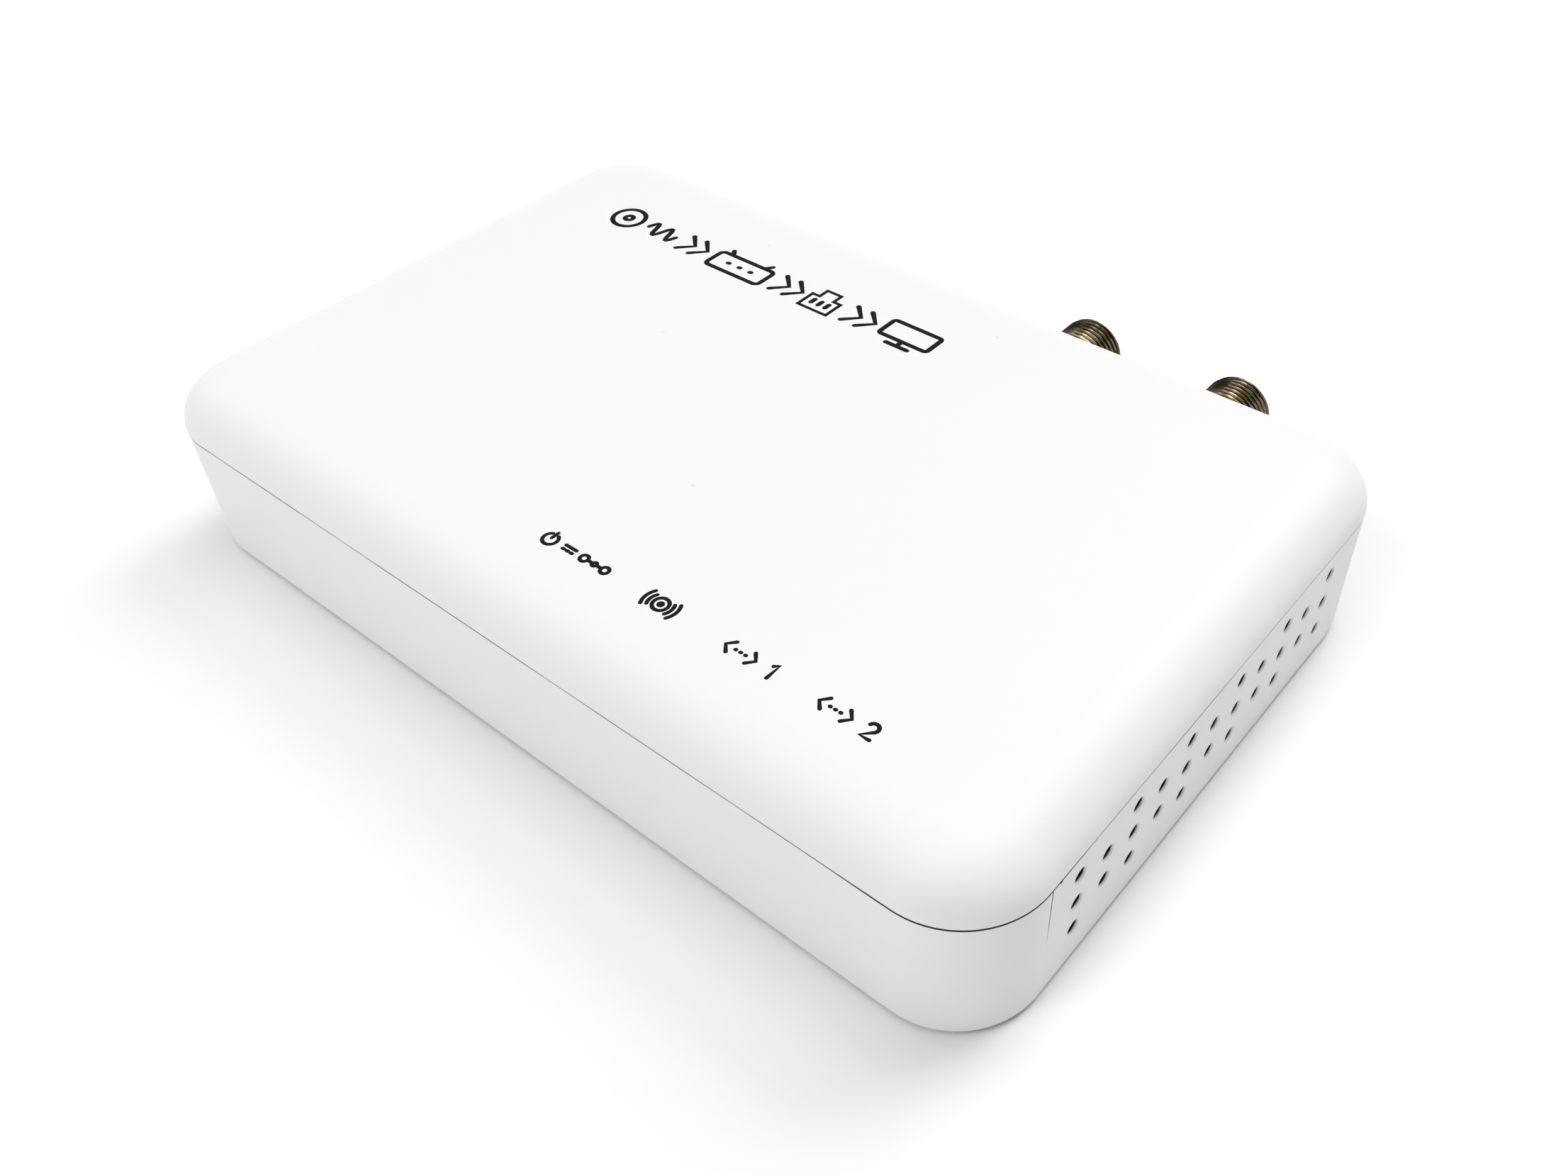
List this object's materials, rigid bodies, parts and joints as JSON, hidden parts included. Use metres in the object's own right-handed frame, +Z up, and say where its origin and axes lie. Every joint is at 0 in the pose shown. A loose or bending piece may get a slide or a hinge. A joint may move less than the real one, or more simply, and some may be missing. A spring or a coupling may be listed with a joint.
{
  "type": "cable modem",
  "caption": "Flat white desktop coax-to-Ethernet modem: domed lid on a vented case, threaded coax sockets, LAN sockets and a power socket at the rear.",
  "frame": {"origin": "middle of the underside of the bounding box, on the plane that the rubber feet stand on", "axes": "+X to the right along the front wall, +Y to the rear where the sockets are, +Z up"},
  "size_m": [0.135, 0.0976, 0.0246],
  "materials": {
    "shell": "fine satin white moulding",
    "foot_rubber": "matte black",
    "screw_steel": "zinc plated",
    "board": "green solder mask",
    "coax_metal": "dark bronze brass, machined thread",
    "insulator": "natural white",
    "contact_gold": "gold flash",
    "tin_sheet": "tin plated sheet",
    "black_moulding": "moulded black",
    "chip": "moulded epoxy",
    "thermal_pad": "soft grey pad",
    "heatsink": "extruded",
    "ferrite": "sintered grey",
    "capacitor_sleeve": "shrink sleeve",
    "clear_guide": "clear acrylic",
    "led": "phosphor window",
    "label": "blank silver film"
  },
  "bodies": {
    "root": {"top_cover": "shell", "bottom_case": "shell", "rubber_foot_1": "foot_rubber", "rubber_foot_2": "foot_rubber", "rubber_foot_3": "foot_rubber", "rubber_foot_4": "foot_rubber", "blank_label": "label", "case_screw_1": "screw_steel", "case_screw_2": "screw_steel", "case_screw_3": "screw_steel", "case_screw_4": "screw_steel", "board_screw_1": "screw_steel", "board_screw_2": "screw_steel", "main_board": "board", "coax_body_1": "coax_metal", "coax_body_2": "coax_metal", "coax_insulator_1": "insulator", "coax_insulator_2": "insulator", "coax_contact_1": "contact_gold", "coax_contact_2": "contact_gold", "lan_shield_1": "tin_sheet", "lan_shield_2": "tin_sheet", "lan_housing_1": "black_moulding", "lan_housing_2": "black_moulding", "lan_contacts_1": "contact_gold", "lan_contacts_2": "contact_gold", "power_jack_housing": "black_moulding", "power_jack_pin": "tin_sheet", "power_jack_spring": "contact_gold", "reset_switch": "black_moulding", "rf_shield_frame": "tin_sheet", "rf_shield_cover": "tin_sheet", "rf_chip": "chip", "processor_chip": "chip", "thermal_pad": "thermal_pad", "heatsink": "heatsink", "memory_chip": "chip", "flash_chip": "chip", "ethernet_chip": "chip", "regulator_chip": "chip", "lan_transformer_1": "black_moulding", "lan_transformer_2": "black_moulding", "clock_crystal": "tin_sheet", "power_inductor_1": "ferrite", "power_inductor_2": "ferrite", "capacitor_1": "capacitor_sleeve", "capacitor_2": "capacitor_sleeve", "capacitor_3": "capacitor_sleeve", "status_led_1": "led", "status_led_2": "led", "status_led_3": "led", "status_led_4": "led", "light_guide": "clear_guide"},
    "reset_plunger": {"reset_button": "black_moulding"}
  },
  "joints": [
    {"name": "reset_press", "type": "slide", "parent": "root", "child": "reset_plunger", "axis": [0, -1, 0], "range_m": [0, 0.0003], "stiffness_N_per_m": 500}
  ]
}
